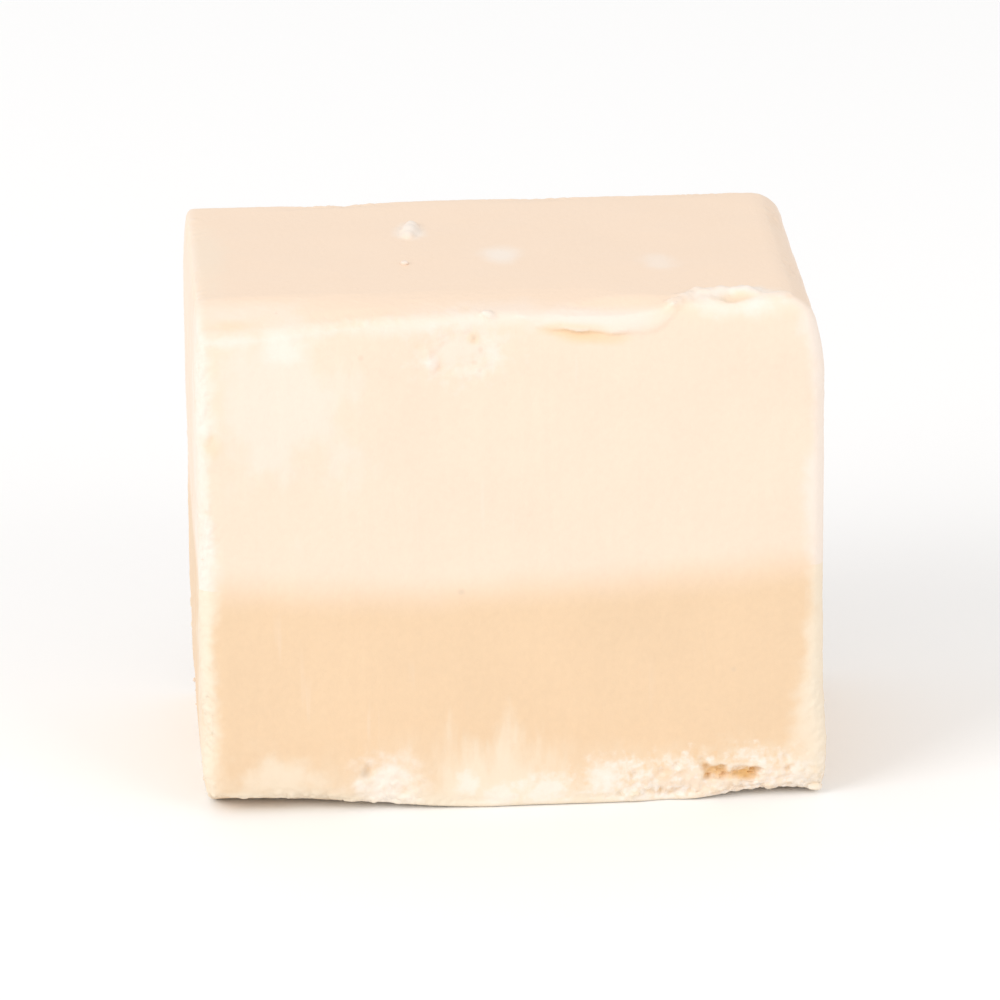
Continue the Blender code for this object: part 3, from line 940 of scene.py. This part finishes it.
crumb_dice = random.Random(11)
tosses = [TOP_CRUMB]
for number in range(SCATTERED_CRUMBS):
    size = 0.12 + 0.38 * crumb_dice.random() ** 3
    across = crumb_dice.uniform(-0.97, 0.97)
    high = crumb_dice.uniform(0.6, TOP - 0.4)
    low = 0.5 + 3.0 * crumb_dice.random() ** 2
    wide, deep = half_x / MM, half_y / MM
    toss = (
        ((40, across * deep, high), (-1, 0, 0)),
        ((40, across * deep, low), (-1, 0, 0)),
        ((-40, across * deep, low), (1, 0, 0)),
        ((across * wide, 40, low), (0, -1, 0)),
    )[number % 4]
    tosses.append((*toss, size))

lumps = []
for start, heading, size in tosses:
    for layer in (vanilla, caramel):
        struck, landing, outward, _ = layer.ray_cast(Vector(start) * MM, Vector(heading))
        if struck:
            break
    if struck:
        shape = [size * crumb_dice.uniform(0.5, 1.0) * MM for _ in range(3)]
        lumps.append(lump("crumb", landing + outward * 0.12 * min(shape), shape, any_turn(crumb_dice)))
only(lumps[0])
for part in lumps[1:]:
    part.select_set(True)
bpy.ops.object.join()
crumbs = lumps[0]
crumbs.name = "loose_crumbs"
finish_with(crumbs, "SUBSURF", levels=1, render_levels=1)
relief(crumbs, "crumb_lumps", 0.22 * MM, 0.13 * MM)
bpy.ops.object.shade_smooth_by_angle(angle=SMOOTH_BELOW)
crumb_finish = bpy.data.materials.new("crumb_finish")
crumb_finish.use_nodes = True
tree = crumb_finish.node_tree
shader = tree.nodes["Principled BSDF"]
place = tree.nodes.new("ShaderNodeTexCoord").outputs["Object"]
put(shader.inputs["Base Color"], tint(tree, 0.7, paste(tree, place, 0.06), BLOOM))
roughen(tree, shader, place, 1.0, 0.0)
crumbs.data.materials.append(crumb_finish)
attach(crumbs, "root")

# ---- Camera, floor and lamps ----
# A still-life set: a long lens a little left of the front and above it, a pale floor that runs out of
# sight, two large soft lamps at the front corners, and white light from all round.
BLOCK_MIDDLE = Vector((0, 0, height / 2))
AZIMUTH = -3.8
ELEVATION = 20.5
ROLL = math.radians(0.49)
DISTANCE = 0.45
LENS = 288.4
SENSOR = 36
FLOOR_SIZE = 3.0
FLOOR_COLOUR = (0.97, 0.965, 0.96, 1)
SKY_STRENGTH = 0.83


def towards(azimuth, elevation):
    """The direction from the block to something at that azimuth and elevation, in degrees."""
    a = math.radians(azimuth)
    e = math.radians(elevation)
    return Vector((math.sin(a) * math.cos(e), -math.cos(a) * math.cos(e), math.sin(e)))


camera_data = bpy.data.cameras.new("camera")
camera_data.lens = LENS
camera_data.sensor_width = SENSOR
camera_data.clip_start = 0.01
camera = bpy.data.objects.new("camera", camera_data)
bpy.context.scene.collection.objects.link(camera)
camera.location = BLOCK_MIDDLE + towards(AZIMUTH, ELEVATION) * DISTANCE
camera.rotation_euler = (-towards(AZIMUTH, ELEVATION)).to_track_quat("-Z", "Y").to_euler()
camera.rotation_euler.rotate_axis("Z", -ROLL)
bpy.context.scene.camera = camera

bpy.ops.object.select_all(action="DESELECT")
bpy.ops.mesh.primitive_plane_add(size=FLOOR_SIZE, location=(0, 0, 0))
floor = named("floor")
floor_finish = bpy.data.materials.new("pale_floor")
floor_finish.use_nodes = True
floor_shader = floor_finish.node_tree.nodes["Principled BSDF"]
floor_shader.inputs["Base Color"].default_value = FLOOR_COLOUR
floor_shader.inputs["Roughness"].default_value = 0.8
floor.data.materials.append(floor_finish)
floor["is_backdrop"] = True


def lamp(name, azimuth, elevation, distance, size, power):
    """A soft square lamp that looks at the block from that direction."""
    light = bpy.data.lights.new(name, "AREA")
    light.shape = "SQUARE"
    light.size = size
    light.energy = power
    made = bpy.data.objects.new(name, light)
    bpy.context.scene.collection.objects.link(made)
    made.location = BLOCK_MIDDLE + towards(azimuth, elevation) * distance
    made.rotation_euler = (-towards(azimuth, elevation)).to_track_quat("-Z", "Y").to_euler()
    made.visible_camera = False


lamp("left_lamp", -56, 32, 0.7, 0.35, 1.8)
lamp("right_lamp", 40, 30, 0.8, 0.35, 1.0)
world = bpy.data.worlds.new("studio")
world.use_nodes = True
sky = world.node_tree.nodes["Background"]
sky.inputs["Color"].default_value = (1, 1, 1, 1)
sky.inputs["Strength"].default_value = SKY_STRENGTH
bpy.context.scene.world = world
bpy.context.scene.view_settings.view_transform = "Standard"

low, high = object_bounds()
